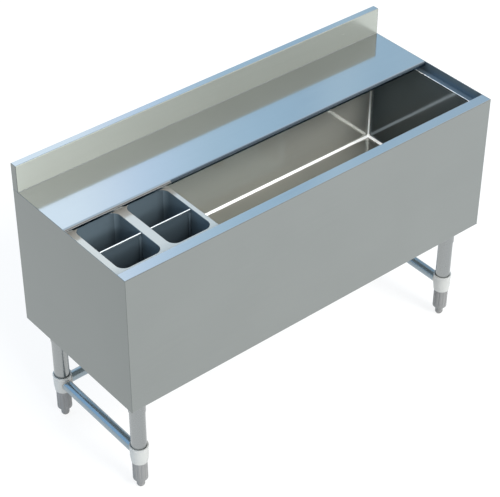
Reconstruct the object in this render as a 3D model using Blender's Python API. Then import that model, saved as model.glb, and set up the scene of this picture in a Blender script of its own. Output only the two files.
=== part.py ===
"""Underbar ice bin with two bottle wells, built in metres as separate closed pieces."""
import math

import bmesh
import bpy
from mathutils import Matrix, Vector

# Overall envelope
LENGTH = 1.219
DEPTH = 0.470
DECK_HEIGHT = 0.756
BODY_HEIGHT = 0.423
SPLASH_HEIGHT = 0.0795
SPLASH_DEPTH = 0.0215

# Sheet thicknesses, folds and clearances
SHEET = 0.0012
DECK_SHEET = 0.0015
CHANNEL_SHEET = 0.002
BEND = 0.0008
NOSE_BEND = 0.0065
SPLASH_BEND = 0.001
GAP = 0.0003
OVERRUN = 0.01
RETURN_WIDTH = 0.014

# Layout of the top, from the left end and from the front
RIM_WIDTH = 0.0325
LEDGE_DROP = 0.026
OPENING_DEPTH = 0.248
LIP_DROP = 0.013
HEM_DEPTH = 0.015
LEFT_LEDGE = 0.0365
WELL_WIDTH = 0.1257
WIDE_BAR = 0.0265
NARROW_BAR = 0.0115
RIGHT_LEDGE = 0.019
FRONT_LEDGE = 0.018
WELL_LEDGE = 0.031
UNDER_DECK_REACH = 0.019
WELL_BACK_FLANGE = 0.023
REAR_SPACE = 0.030
SKIRT_RETURN = 0.019

# Wells, dividers and their guides
WELL_DEPTH = 0.250
WELL_CORNER = 0.024
WELL_COVE = 0.010
FLANGE_CORNER = 0.001
DIVIDER_SHEET = 0.0015
DIVIDER_HEM = 0.004
DIVIDER_HEM_HEIGHT = 0.010
DIVIDER_DROP = 0.002
DIVIDER_RISE = 0.012
GUIDE_DEPTH = 0.008
GUIDE_CLEARANCE = 0.0005
GUIDE_RISE = 0.020

# Ice bin and its drain
FLOOR_RISE = 0.080
BIN_CORNER = 0.014
BIN_COVE = 0.0125
TRAY_HEIGHT = 0.020
ANGLE_LEG = 0.026
RECESS_RADIUS = 0.032
RECESS_DEPTH = 0.005
DRAIN_FLANGE_RADIUS = 0.029
DRAIN_FLANGE = 0.002
GASKET = 0.002
NIPPLE_RADIUS = 0.0167
NIPPLE_WALL = 0.0034
NIPPLE_CLEARANCE = 0.0005
NIPPLE_REACH = 0.025
NUT_APOTHEM = 0.025
NUT_HEIGHT = 0.010
NUT_ROOM = 0.007
PANEL_HOLE_ROOM = 0.003
STRAINER_RADIUS = 0.022
STRAINER_SHEET = 0.0012
STRAINER_RING = 0.0129
STRAINER_RING_WALL = 0.0014
STRAINER_RING_DEPTH = 0.005
STRAINER_HOLE_RADIUS = 0.002
STRAINER_HOLE_CIRCLE = 0.0075
KNOB_RADIUS = 0.003
KNOB_HEIGHT = 0.008

# Deck stiffener
STIFFENER_WIDTH = 0.026
STIFFENER_FLANGE = 0.012
STIFFENER_DEPTH = 0.016
STIFFENER_SETBACK = 0.090

# Legs, sockets, collars, feet and braces
LEFT_LEG_INSET = 0.0535
RIGHT_LEG_INSET = 0.061
LEG_FRONT = 0.056
LEG_REAR = 0.0638
CHANNEL_WIDTH = 0.060
TUBE_RADIUS = 0.0211
TUBE_WALL = 0.0015
SOCKET_DROP_SHARE = 0.3405405
SOCKET_SCREW_SHARE = 0.3174603
SOCKET_FLANGE = 0.004
SOCKET_FLANGE_RADIUS = 0.029
SOCKET_WALL = 0.0014
COLLAR_FOOT = 0.092
COLLAR_HEIGHT = 0.056
COLLAR_LIP = 0.005
COLLAR_RIM_RADIUS = 0.0258
COLLAR_RIM = 0.005
COLLAR_STEP = 0.001
COLLAR_BASE_RADIUS = 0.0222
COLLAR_TAPER = 0.020
COLLAR_LIP_RADIUS = 0.012
FOOT_RADIUS = 0.0205
FOOT_SHOULDER = 0.001
FOOT_TIP_RADIUS = 0.0115
FOOT_TIP_FLAT = 0.0080
FOOT_TIP_ROUND = 0.0050
FOOT_TIP_HEIGHT = 0.025
FOOT_TAPER = 0.005
STUD_RADIUS = 0.005
STUD_LENGTH = 0.060
INSERT_HEIGHT = 0.040
SCREW_RADIUS = 0.003
SCREW_HEX = 0.0014
SCREW_HEX_DEPTH = 0.0015
SCREW_PROUD = 0.001
SCREW_CLEARANCE = 0.0003
BRACE_HEIGHT = 0.120
BRACE_RADIUS = 0.015
BRACE_WALL = 0.0015

# Facet counts and angles
BEND_STEPS = 3
CORNER_STEPS = 4
TUBE_FACETS = 20
FOOT_FACETS = 16
SMALL_FACETS = 12
DRAIN_FACETS = 24
QUARTER_TURN = math.pi / 2
SMOOTH_ANGLE = math.radians(40)
HEX_STEP = math.radians(60)

# Edges and levels worked out from the sizes above
LEFT = -LENGTH / 2
RIGHT = LENGTH / 2
FRONT = -DEPTH / 2
REAR = DEPTH / 2
INNER_LEFT = LEFT + SHEET + GAP
INNER_RIGHT = RIGHT - SHEET - GAP
INNER_FRONT = FRONT + SHEET + GAP
INNER_REAR = REAR - SHEET - GAP
RIM_BACK = FRONT + RIM_WIDTH
LIP = FRONT + OPENING_DEPTH
BODY_BOTTOM = DECK_HEIGHT - BODY_HEIGHT
SUNK_TOP = DECK_HEIGHT - LEDGE_DROP
FLANGE_TOP = SUNK_TOP - SHEET - GAP
FLANGE_BOTTOM = FLANGE_TOP - SHEET
SHELF_TOP = FLANGE_BOTTOM - GAP
SHELF_BOTTOM = SHELF_TOP - SHEET
SKIRT_FOOT = BODY_BOTTOM + SHEET + GAP
TRAY_TOP = BODY_BOTTOM + TRAY_HEIGHT

# Well and bin edges
WELL_1_LEFT = LEFT + LEFT_LEDGE
WELL_1_RIGHT = WELL_1_LEFT + WELL_WIDTH
WELL_2_LEFT = WELL_1_RIGHT + WIDE_BAR
WELL_2_RIGHT = WELL_2_LEFT + WELL_WIDTH
BIN_LEFT = WELL_2_RIGHT + NARROW_BAR
BIN_RIGHT = RIGHT - RIGHT_LEDGE
WIDE_BAR_MIDDLE = (WELL_1_RIGHT + WELL_2_LEFT) / 2
NARROW_BAR_MIDDLE = (WELL_2_RIGHT + BIN_LEFT) / 2
WELL_FRONT = RIM_BACK + WELL_LEDGE
WELL_BACK = LIP + UNDER_DECK_REACH
FRAME_BACK = WELL_BACK + WELL_BACK_FLANGE
BIN_FRONT = RIM_BACK + FRONT_LEDGE
BIN_BACK = REAR - REAR_SPACE
LINER_BACK = REAR - SKIRT_RETURN - GAP
SHELF_BACK = BIN_FRONT - SHEET - GAP
REAR_SHELF_FRONT = BIN_BACK + SHEET + GAP
SIDE_FRONT = BIN_FRONT - SHEET
SIDE_BACK = BIN_BACK + SHEET
WELL_FLOOR = SUNK_TOP - WELL_DEPTH
BIN_FLOOR = BODY_BOTTOM + FLOOR_RISE
LEFT_LEDGE_END = WELL_1_LEFT - SHEET - GAP
RIGHT_LEDGE_END = BIN_RIGHT + SHEET + GAP
ANGLE_FOOT = SHELF_TOP - ANGLE_LEG
DIVIDER_Y = (WELL_FRONT + LIP) / 2
DRAIN_X = (BIN_LEFT + BIN_RIGHT) / 2
DRAIN_Y = (BIN_FRONT + BIN_BACK) / 2

# Leg levels
COLLAR_TOP = COLLAR_FOOT + COLLAR_HEIGHT
SOCKET_TOP = BODY_BOTTOM + SHEET
SOCKET_DROP = SOCKET_DROP_SHARE * (BODY_BOTTOM - COLLAR_TOP)
SOCKET_FOOT = BODY_BOTTOM - SOCKET_DROP
SOCKET_CEILING = SOCKET_TOP - SOCKET_FLANGE
SOCKET_SCREW_RISE = SOCKET_SCREW_SHARE * SOCKET_DROP
COLLAR_SEAT = COLLAR_FOOT + COLLAR_LIP
COLLAR_BODY_RADIUS = COLLAR_RIM_RADIUS - COLLAR_STEP
FOOT_TOP = COLLAR_FOOT - GAP
LEG_LEFT = LEFT + LEFT_LEG_INSET
LEG_RIGHT = RIGHT - RIGHT_LEG_INSET
LEG_FRONT_Y = FRONT + LEG_FRONT
LEG_REAR_Y = REAR - LEG_REAR
LEGS = {
    "front_left": (LEG_LEFT, LEG_FRONT_Y),
    "front_right": (LEG_RIGHT, LEG_FRONT_Y),
    "rear_left": (LEG_LEFT, LEG_REAR_Y),
    "rear_right": (LEG_RIGHT, LEG_REAR_Y),
}

# Drain levels
RECESS_FLOOR = BIN_FLOOR - RECESS_DEPTH
GASKET_FOOT = RECESS_FLOOR + GAP
DRAIN_FLANGE_FOOT = GASKET_FOOT + GASKET + GAP
DRAIN_FLANGE_TOP = DRAIN_FLANGE_FOOT + DRAIN_FLANGE
NUT_TOP = RECESS_FLOOR - SHEET - GAP
OUTLET = BODY_BOTTOM - NIPPLE_REACH


def clear_scene():
    """Remove every object that the start-up file holds."""
    for thing in list(bpy.data.objects):
        bpy.data.objects.remove(thing, do_unlink=True)


def make_material(name, colour, metallic, roughness):
    """Return a plain shaded material."""
    material = bpy.data.materials.new(name)
    material.use_nodes = True
    shader = material.node_tree.nodes["Principled BSDF"]
    shader.inputs["Base Color"].default_value = (*colour, 1)
    shader.inputs["Metallic"].default_value = metallic
    shader.inputs["Roughness"].default_value = roughness
    return material


def casing_steel():
    """Brushed stainless steel of the outer casing and deck."""
    return make_material("casing_steel", (0.58, 0.60, 0.60), 1, 0.35)


def liner_steel():
    """Polished stainless steel of the bin, wells and dividers."""
    return make_material("liner_steel", (0.62, 0.63, 0.63), 1, 0.2)


def frame_steel():
    """Plain galvanised steel of the hidden channels and angles."""
    return make_material("frame_steel", (0.45, 0.46, 0.47), 1, 0.5)


def tube_steel():
    """Satin stainless steel of the leg tubes and braces."""
    return make_material("tube_steel", (0.60, 0.61, 0.62), 1, 0.3)


def collar_metal():
    """Pale cast aluminium of the brace collars."""
    return make_material("collar_metal", (0.78, 0.78, 0.76), 1, 0.4)


def foot_plastic():
    """Grey moulded plastic of the adjustable feet."""
    return make_material("foot_plastic", (0.34, 0.34, 0.34), 0, 0.5)


def insert_metal():
    """Zinc-plated steel of the threaded inserts and screws."""
    return make_material("insert_metal", (0.50, 0.50, 0.48), 1, 0.4)


def foam():
    """Foam insulation between the casing and the bin."""
    return make_material("foam", (0.80, 0.74, 0.52), 0, 0.9)


def drain_brass():
    """Plated brass of the drain fitting."""
    return make_material("drain_brass", (0.60, 0.52, 0.34), 1, 0.35)


def gasket_rubber():
    """Black rubber of the drain gasket."""
    return make_material("gasket_rubber", (0.03, 0.03, 0.03), 0, 0.8)


def make_materials():
    """Make each material once and return them by name."""
    makers = (
        casing_steel, liner_steel, frame_steel, tube_steel, collar_metal,
        foot_plastic, insert_metal, foam, drain_brass, gasket_rubber,
    )
    return {maker.__name__: maker() for maker in makers}


def finish_mesh(thing):
    """Shade curved faces smooth and keep the folds sharp."""
    for face in thing.data.polygons:
        face.use_smooth = True
    thing.data.set_sharp_from_angle(angle=SMOOTH_ANGLE)


def make_object(name, shape, material, origin=(0, 0, 0)):
    """Turn a shape in row coordinates into a named object with its own origin."""
    place = Vector(origin)
    bmesh.ops.translate(shape, verts=shape.verts, vec=-place)
    bmesh.ops.recalc_face_normals(shape, faces=shape.faces)
    mesh = bpy.data.meshes.new(name)
    shape.to_mesh(mesh)
    shape.free()
    thing = bpy.data.objects.new(name, mesh)
    thing.location = place
    thing.data.materials.append(material)
    bpy.context.collection.objects.link(thing)
    finish_mesh(thing)
    return thing


def combine(thing, shape, operation):
    """Cut a shape out of an object, or join it on, and keep the result as plain mesh."""
    tool = make_object("cutter", shape, thing.data.materials[0])
    tool.hide_render = True
    tool.display_type = "WIRE"
    step = thing.modifiers.new("combine", "BOOLEAN")
    step.operation = operation
    step.solver = "EXACT"
    step.object = tool
    bpy.context.view_layer.update()
    bpy.context.view_layer.objects.active = thing
    bpy.ops.object.modifier_apply(modifier=step.name)
    bpy.data.objects.remove(tool, do_unlink=True)
    finish_mesh(thing)


def cut(thing, shape):
    """Cut a shape out of an object."""
    combine(thing, shape, "DIFFERENCE")


def join(thing, shape):
    """Join a shape onto an object."""
    combine(thing, shape, "UNION")


def loft(rings, closed=False):
    """Skin rings of equal counts, and close the ends or run round to the start."""
    shape = bmesh.new()
    loops = [[shape.verts.new(point) for point in ring] for ring in rings]
    pairs = list(zip(loops, loops[1:]))
    if closed:
        pairs.append((loops[-1], loops[0]))
    else:
        shape.faces.new(loops[0][::-1])
        shape.faces.new(loops[-1])
    for low, high in pairs:
        count = len(low)
        for index in range(count):
            after = (index + 1) % count
            shape.faces.new((low[index], low[after], high[after], high[index]))
    return shape


def gather(shapes):
    """Put several separate shapes into one."""
    whole = bmesh.new()
    for shape in shapes:
        spare = bpy.data.meshes.new("spare")
        shape.to_mesh(spare)
        shape.free()
        whole.from_mesh(spare)
        bpy.data.meshes.remove(spare)
    return whole


def extrude_x(outline, start, end):
    """Extrude a (y, z) outline along X."""
    return loft([[(place, a, b) for a, b in outline] for place in (start, end)])


def extrude_y(outline, start, end):
    """Extrude an (x, z) outline along Y."""
    return loft([[(a, place, b) for a, b in outline] for place in (start, end)])


def extrude_z(outline, start, end):
    """Extrude an (x, y) outline along Z."""
    return loft([[(a, b, place) for a, b in outline] for place in (start, end)])


def rectangle(low_x, high_x, low_y, high_y):
    """Return the four corners of a rectangle."""
    return [(low_x, low_y), (high_x, low_y), (high_x, high_y), (low_x, high_y)]


def box(low_x, high_x, low_y, high_y, low_z, high_z):
    """Return a block between two limits on each axis."""
    return extrude_z(rectangle(low_x, high_x, low_y, high_y), low_z, high_z)


def rounded(low_x, high_x, low_y, high_y, radius):
    """Return a rectangle with rounded corners."""
    centres = (
        (high_x - radius, high_y - radius),
        (low_x + radius, high_y - radius),
        (low_x + radius, low_y + radius),
        (high_x - radius, low_y + radius),
    )
    points = []
    for quarter, (centre_x, centre_y) in enumerate(centres):
        for step in range(CORNER_STEPS + 1):
            angle = QUARTER_TURN * (quarter + step / CORNER_STEPS)
            points.append((centre_x + radius * math.cos(angle), centre_y + radius * math.sin(angle)))
    return points


def raised(outline, height):
    """Put a flat outline at a height."""
    return [(a, b, height) for a, b in outline]


def circle(radius, facets, centre=(0, 0)):
    """Return the points of a circle."""
    angles = [math.tau * index / facets for index in range(facets)]
    return [(centre[0] + radius * math.cos(a), centre[1] + radius * math.sin(a)) for a in angles]


def turned(profile, centre, facets, closed=False):
    """Turn a (radius, height) profile about an upright axis."""
    return loft([raised(circle(r, facets, centre), z) for r, z in profile], closed)


def folded(path, sheet, bends):
    """Return the outline of a folded sheet; the path is its outer side, metal on the right hand."""
    points = [Vector(point) for point in path]
    start = (points[1] - points[0]).normalized()
    end = (points[-1] - points[-2]).normalized()
    outer = [points[0]]
    inner = [points[0] + right_hand(start) * sheet]
    for before, corner, after, bend in zip(points, points[1:], points[2:], bends):
        arrive = (corner - before).normalized()
        leave = (after - corner).normalized()
        right_turn = arrive.cross(leave) < 0
        toward = 1 if right_turn else -1
        outer_radius = bend + sheet if right_turn else bend
        inner_radius = bend if right_turn else bend + sheet
        first = right_hand(arrive) * -toward
        last = right_hand(leave) * -toward
        centre = corner - arrive * outer_radius - first * outer_radius
        for step in range(BEND_STEPS + 1):
            angle = QUARTER_TURN * step / BEND_STEPS
            spoke = first * math.cos(angle) + last * math.sin(angle)
            outer.append(centre + spoke * outer_radius)
            inner.append(centre + spoke * inner_radius)
    outer.append(points[-1])
    inner.append(points[-1] + right_hand(end) * sheet)
    return [tuple(point) for point in outer + inner[::-1]]


def right_hand(direction):
    """Return the direction to the right of a flat direction of travel."""
    return Vector((direction.y, -direction.x))


def make_front_apron(steels):
    """Front face with its rim, inner drop and shelf, folded from one sheet."""
    path = [
        (FRONT + RETURN_WIDTH, BODY_BOTTOM),
        (FRONT, BODY_BOTTOM),
        (FRONT, DECK_HEIGHT),
        (RIM_BACK, DECK_HEIGHT),
        (RIM_BACK, SHELF_TOP),
        (SHELF_BACK, SHELF_TOP),
    ]
    outline = folded(path, SHEET, [BEND] * 4)
    make_object("front_apron", extrude_x(outline, INNER_LEFT, INNER_RIGHT), steels["casing_steel"])


def make_end_panels(steels):
    """Flat plates that close both ends of the body."""
    steel = steels["casing_steel"]
    for name, low in (("left_end_panel", LEFT), ("right_end_panel", RIGHT - SHEET)):
        shape = box(low, low + SHEET, FRONT, REAR, BODY_BOTTOM, DECK_HEIGHT)
        make_object(name, shape, steel)


def make_rear_panel(steels):
    """Rear face with a shelf at the top and a return at the bottom."""
    path = [
        (REAR_SHELF_FRONT, SHELF_TOP),
        (REAR, SHELF_TOP),
        (REAR, BODY_BOTTOM),
        (REAR - RETURN_WIDTH, BODY_BOTTOM),
    ]
    outline = folded(path, SHEET, [BEND] * 2)
    make_object("rear_panel", extrude_x(outline, INNER_LEFT, INNER_RIGHT), steels["casing_steel"])


def make_bottom_panel(steels):
    """Upturned tray that closes the body, with a hole for the drain."""
    outside = rectangle(INNER_LEFT, INNER_RIGHT, INNER_FRONT, INNER_REAR)
    inside = rectangle(INNER_LEFT + SHEET, INNER_RIGHT - SHEET, INNER_FRONT + SHEET, INNER_REAR - SHEET)
    rings = [
        raised(inside, TRAY_TOP - SHEET),
        raised(inside, SKIRT_FOOT),
        raised(outside, SKIRT_FOOT),
        raised(outside, TRAY_TOP),
    ]
    panel = make_object("bottom_panel", loft(rings), steels["casing_steel"])
    hole = circle(NIPPLE_RADIUS + PANEL_HOLE_ROOM, DRAIN_FACETS, (DRAIN_X, DRAIN_Y))
    cut(panel, extrude_z(hole, SKIRT_FOOT, TRAY_TOP + OVERRUN))


def make_leg_channels(steels):
    """Channels under the tray that carry the leg sockets."""
    half = CHANNEL_WIDTH / 2
    top = TRAY_TOP - SHEET - GAP
    for name, middle in (("leg_channel_left", LEG_LEFT), ("leg_channel_right", LEG_RIGHT)):
        path = [
            (middle + half, top),
            (middle + half, SKIRT_FOOT),
            (middle - half, SKIRT_FOOT),
            (middle - half, top),
        ]
        outline = folded(path, CHANNEL_SHEET, [BEND] * 2)
        shape = extrude_y(outline, INNER_FRONT + SHEET + GAP, INNER_REAR - SHEET - GAP)
        make_object(name, shape, steels["frame_steel"])


def screw_side(name):
    """Return the side of a leg that its set screws enter."""
    return Vector((0, 1, 0)) if name.startswith("rear") else Vector((1, 0, 0))


def radial(profile, centre, height, side, facets):
    """Turn a (radius, reach) profile about a level axis that leaves a leg's axis."""
    shape = turned(profile, (0, 0), facets)
    turn = Vector((0, 0, 1)).rotation_difference(side).to_matrix().to_4x4()
    bmesh.ops.transform(shape, matrix=turn, verts=shape.verts)
    bmesh.ops.translate(shape, verts=shape.verts, vec=(*centre, height))
    return shape


def screw_hole(centre, height, side):
    """Return the cutter of a set screw's hole."""
    radius = SCREW_RADIUS + SCREW_CLEARANCE
    profile = [(radius, TUBE_RADIUS), (radius, SOCKET_FLANGE_RADIUS)]
    return radial(profile, centre, height, side, SMALL_FACETS)


def set_screw(centre, height, side, wall_radius):
    """Return a set screw with a socket in its outer end."""
    tip = TUBE_RADIUS + GAP
    end = wall_radius + SCREW_PROUD
    profile = [
        (SCREW_RADIUS, tip),
        (SCREW_RADIUS, end),
        (SCREW_HEX, end),
        (SCREW_HEX, end - SCREW_HEX_DEPTH),
    ]
    return radial(profile, centre, height, side, SMALL_FACETS)


def make_sockets(steels):
    """Cups under the channels that take the top of each leg tube."""
    bore = TUBE_RADIUS + GAP
    wall = bore + SOCKET_WALL
    height = SOCKET_FOOT + SOCKET_SCREW_RISE
    profile = [
        (bore, SOCKET_CEILING),
        (bore, SOCKET_FOOT),
        (wall, SOCKET_FOOT),
        (wall, SOCKET_CEILING),
        (SOCKET_FLANGE_RADIUS, SOCKET_CEILING),
        (SOCKET_FLANGE_RADIUS, SOCKET_TOP),
    ]
    for name, centre in LEGS.items():
        side = screw_side(name)
        shape = turned(profile, centre, TUBE_FACETS)
        socket = make_object("leg_socket_" + name, shape, steels["tube_steel"], (*centre, SOCKET_TOP))
        cut(socket, screw_hole(centre, height, side))
        screw = set_screw(centre, height, side, wall)
        make_object("set_screw_" + name, screw, steels["insert_metal"], (*centre, height))


def make_tubes(steels):
    """Round leg tubes between the collars and the sockets."""
    bore = TUBE_RADIUS - TUBE_WALL
    low = COLLAR_SEAT + GAP
    high = SOCKET_CEILING - GAP
    profile = [(bore, low), (TUBE_RADIUS, low), (TUBE_RADIUS, high), (bore, high)]
    for name, centre in LEGS.items():
        shape = turned(profile, centre, TUBE_FACETS, closed=True)
        make_object("leg_tube_" + name, shape, steels["tube_steel"], (*centre, low))


def make_collars(steels):
    """Collars at the foot of each leg that hold the braces."""
    bore = TUBE_RADIUS + GAP
    profile = [
        (bore, COLLAR_TOP),
        (COLLAR_RIM_RADIUS, COLLAR_TOP),
        (COLLAR_RIM_RADIUS, COLLAR_TOP - COLLAR_RIM),
        (COLLAR_BODY_RADIUS, COLLAR_TOP - COLLAR_RIM - COLLAR_STEP),
        (COLLAR_BODY_RADIUS, COLLAR_FOOT + COLLAR_TAPER),
        (COLLAR_BASE_RADIUS, COLLAR_FOOT),
        (COLLAR_LIP_RADIUS, COLLAR_FOOT),
        (COLLAR_LIP_RADIUS, COLLAR_SEAT),
        (bore, COLLAR_SEAT),
    ]
    for name, centre in LEGS.items():
        shape = turned(profile, centre, TUBE_FACETS, closed=True)
        make_object("brace_collar_" + name, shape, steels["collar_metal"], (*centre, COLLAR_FOOT))


def make_inserts(steels):
    """Threaded inserts pressed into the foot of each leg tube."""
    bore = STUD_RADIUS + GAP
    wall = TUBE_RADIUS - TUBE_WALL - GAP
    low = COLLAR_SEAT + GAP
    high = low + INSERT_HEIGHT
    profile = [(bore, low), (wall, low), (wall, high), (bore, high)]
    for name, centre in LEGS.items():
        shape = turned(profile, centre, FOOT_FACETS, closed=True)
        make_object("foot_insert_" + name, shape, steels["insert_metal"], (*centre, low))


def make_feet(steels):
    """Bullet feet on threaded studs; each slides on its own upright axis."""
    profile = [
        (FOOT_TIP_FLAT, 0),
        (FOOT_TIP_RADIUS, FOOT_TIP_ROUND),
        (FOOT_TIP_RADIUS, FOOT_TIP_HEIGHT),
        (FOOT_RADIUS, FOOT_TIP_HEIGHT + FOOT_TAPER),
        (FOOT_RADIUS, FOOT_TOP - FOOT_SHOULDER),
        (FOOT_RADIUS - FOOT_SHOULDER, FOOT_TOP),
        (STUD_RADIUS, FOOT_TOP),
        (STUD_RADIUS, FOOT_TOP + STUD_LENGTH),
    ]
    for name, centre in LEGS.items():
        shape = turned(profile, centre, FOOT_FACETS)
        make_object("bullet_foot_" + name, shape, steels["foot_plastic"], (*centre, 0))


def make_brace(name, start, end, steel):
    """Tube between two legs with its ends cut to sit round the collars."""
    bore = BRACE_RADIUS - BRACE_WALL
    low = Vector((*start, BRACE_HEIGHT))
    span = Vector((*end, BRACE_HEIGHT)) - low
    reach = span.length
    profile = [(bore, 0), (BRACE_RADIUS, 0), (BRACE_RADIUS, reach), (bore, reach)]
    shape = turned(profile, (0, 0), FOOT_FACETS, closed=True)
    turn = Vector((0, 0, 1)).rotation_difference(span).to_matrix().to_4x4()
    bmesh.ops.transform(shape, matrix=Matrix.Translation(low) @ turn, verts=shape.verts)
    brace = make_object(name, shape, steel, low + span / 2)
    for centre in (start, end):
        ring = circle(COLLAR_BODY_RADIUS + GAP, TUBE_FACETS, centre)
        cut(brace, extrude_z(ring, COLLAR_FOOT - OVERRUN, COLLAR_TOP + OVERRUN + OVERRUN))


def make_braces(steels):
    """Side braces and the rear brace, all at one height."""
    steel = steels["tube_steel"]
    make_brace("side_brace_left", LEGS["front_left"], LEGS["rear_left"], steel)
    make_brace("side_brace_right", LEGS["front_right"], LEGS["rear_right"], steel)
    make_brace("rear_brace", LEGS["rear_left"], LEGS["rear_right"], steel)


def make_top_deck(steels):
    """Deck, its down-turned lip and the boxed splash, folded from one sheet."""
    top = DECK_HEIGHT + SPLASH_HEIGHT
    hem = DECK_HEIGHT - LIP_DROP
    path = [
        (LIP + HEM_DEPTH, hem),
        (LIP, hem),
        (LIP, DECK_HEIGHT),
        (REAR - SPLASH_DEPTH, DECK_HEIGHT),
        (REAR - SPLASH_DEPTH, top),
        (REAR, top),
        (REAR, FLANGE_BOTTOM),
        (REAR - SKIRT_RETURN, FLANGE_BOTTOM),
    ]
    bends = [BEND, NOSE_BEND, SPLASH_BEND, SPLASH_BEND, SPLASH_BEND, BEND]
    outline = folded(path, DECK_SHEET, bends)
    make_object("top_deck", extrude_x(outline, INNER_LEFT, INNER_RIGHT), steels["casing_steel"])


def make_splash_ends(steels):
    """Small plates that close both ends of the boxed splash."""
    steel = steels["casing_steel"]
    top = DECK_HEIGHT + SPLASH_HEIGHT
    radius = SPLASH_BEND + DECK_SHEET
    low_y = REAR - SPLASH_DEPTH
    outline = [(low_y, DECK_HEIGHT + GAP)]
    for step in range(BEND_STEPS + 1):
        angle = QUARTER_TURN * step / BEND_STEPS
        outline.append((low_y + radius - radius * math.cos(angle), top - radius + radius * math.sin(angle)))
    for step in range(BEND_STEPS + 1):
        angle = QUARTER_TURN * step / BEND_STEPS
        outline.append((REAR - radius + radius * math.sin(angle), top - radius + radius * math.cos(angle)))
    outline.append((REAR, DECK_HEIGHT + GAP))
    for name, low in (("splash_end_left", LEFT), ("splash_end_right", RIGHT - SHEET)):
        make_object(name, extrude_x(outline, low, low + SHEET), steel)


def make_deck_stiffener(steels):
    """Hat section that keeps the deck from flexing."""
    top = DECK_HEIGHT - DECK_SHEET - GAP
    bottom = top - STIFFENER_DEPTH
    low_y = LIP + STIFFENER_SETBACK
    high_y = low_y + STIFFENER_WIDTH
    path = [
        (low_y - STIFFENER_FLANGE, top),
        (low_y, top),
        (low_y, bottom),
        (high_y, bottom),
        (high_y, top),
        (high_y + STIFFENER_FLANGE, top),
    ]
    outline = folded(path, SHEET, [BEND] * 4)
    make_object("deck_stiffener", extrude_x(outline, INNER_LEFT, INNER_RIGHT), steels["frame_steel"])


def make_well_frame(steels):
    """Sunk plate round the two wells, with rounded openings."""
    shape = box(INNER_LEFT, BIN_LEFT, RIM_BACK + GAP, FRAME_BACK, SUNK_TOP - SHEET, SUNK_TOP)
    frame = make_object("well_frame", shape, steels["liner_steel"])
    for low_x, high_x in ((WELL_1_LEFT, WELL_1_RIGHT), (WELL_2_LEFT, WELL_2_RIGHT)):
        hole = rounded(low_x, high_x, WELL_FRONT, WELL_BACK, WELL_CORNER)
        cut(frame, extrude_z(hole, SUNK_TOP - OVERRUN, SUNK_TOP + OVERRUN))


def dished(inside, flange, floor, corner, cove):
    """Return a pressed pan with coved floor edges and a flange that lies at the flange level."""
    low_x, high_x, low_y, high_y = inside
    rings = []
    for radius, sheet, level in ((cove, 0, FLANGE_TOP), (cove + SHEET, SHEET, FLANGE_BOTTOM)):
        side = []
        for step in range(BEND_STEPS + 1):
            angle = QUARTER_TURN * (1 - step / BEND_STEPS)
            inset = cove - radius * math.cos(angle)
            ring = rounded(low_x + inset, high_x - inset, low_y + inset, high_y - inset, corner - inset)
            side.append(raised(ring, floor + cove - radius * math.sin(angle)))
        ring = rounded(low_x - sheet, high_x + sheet, low_y - sheet, high_y + sheet, corner + sheet)
        side.append(raised(ring, level))
        side.append(raised(rounded(*flange, FLANGE_CORNER), level))
        rings.append(side)
    return loft(rings[0] + rings[1][::-1])


def make_well_pans(steels):
    """Bottle wells, pressed as pans with flanges under the frame."""
    half = GAP / 2
    spans = (
        ("well_pan_left", WELL_1_LEFT, WELL_1_RIGHT, INNER_LEFT, WIDE_BAR_MIDDLE - half),
        ("well_pan_right", WELL_2_LEFT, WELL_2_RIGHT, WIDE_BAR_MIDDLE + half, NARROW_BAR_MIDDLE - half),
    )
    for name, low_x, high_x, flange_low, flange_high in spans:
        inside = (low_x, high_x, WELL_FRONT, WELL_BACK)
        flange = (flange_low, flange_high, RIM_BACK + GAP, FRAME_BACK)
        shape = dished(inside, flange, WELL_FLOOR, WELL_CORNER, WELL_COVE)
        make_object(name, shape, steels["liner_steel"])


def divider_guide(wall, side, low, high):
    """Return one upright guide on a well's side wall that opens toward the well's middle."""
    slot = DIVIDER_SHEET / 2 + GUIDE_CLEARANCE
    back = wall + side * GAP
    floor = back + side * SHEET
    mouth = back + side * GUIDE_DEPTH
    outline = [
        (back, DIVIDER_Y - slot - SHEET),
        (mouth, DIVIDER_Y - slot - SHEET),
        (mouth, DIVIDER_Y - slot),
        (floor, DIVIDER_Y - slot),
        (floor, DIVIDER_Y + slot),
        (mouth, DIVIDER_Y + slot),
        (mouth, DIVIDER_Y + slot + SHEET),
        (back, DIVIDER_Y + slot + SHEET),
    ]
    return extrude_z(outline, low, high)


def make_dividers(steels):
    """Lift-out dividers and the guides that they drop into."""
    steel = steels["liner_steel"]
    top = SUNK_TOP - DIVIDER_DROP
    hem = top - DIVIDER_HEM_HEIGHT
    low = WELL_FLOOR + DIVIDER_RISE
    thin = DIVIDER_SHEET / 2
    thick = DIVIDER_HEM / 2
    outline = [
        (DIVIDER_Y - thin, low),
        (DIVIDER_Y + thin, low),
        (DIVIDER_Y + thin, hem),
        (DIVIDER_Y + thick, hem),
        (DIVIDER_Y + thick, top),
        (DIVIDER_Y - thick, top),
        (DIVIDER_Y - thick, hem),
        (DIVIDER_Y - thin, hem),
    ]
    wells = (("left", WELL_1_LEFT, WELL_1_RIGHT), ("right", WELL_2_LEFT, WELL_2_RIGHT))
    for name, low_x, high_x in wells:
        reach = GAP + SHEET + GAP
        middle = ((low_x + high_x) / 2, DIVIDER_Y, top)
        shape = extrude_x(outline, low_x + reach, high_x - reach)
        make_object("well_divider_" + name, shape, steel, middle)
        for part, wall, side in (("a", low_x, 1), ("b", high_x, -1)):
            guide = divider_guide(wall, side, WELL_FLOOR + GUIDE_RISE, hem - GAP)
            make_object("divider_guide_" + name + "_" + part, guide, steel)


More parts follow.
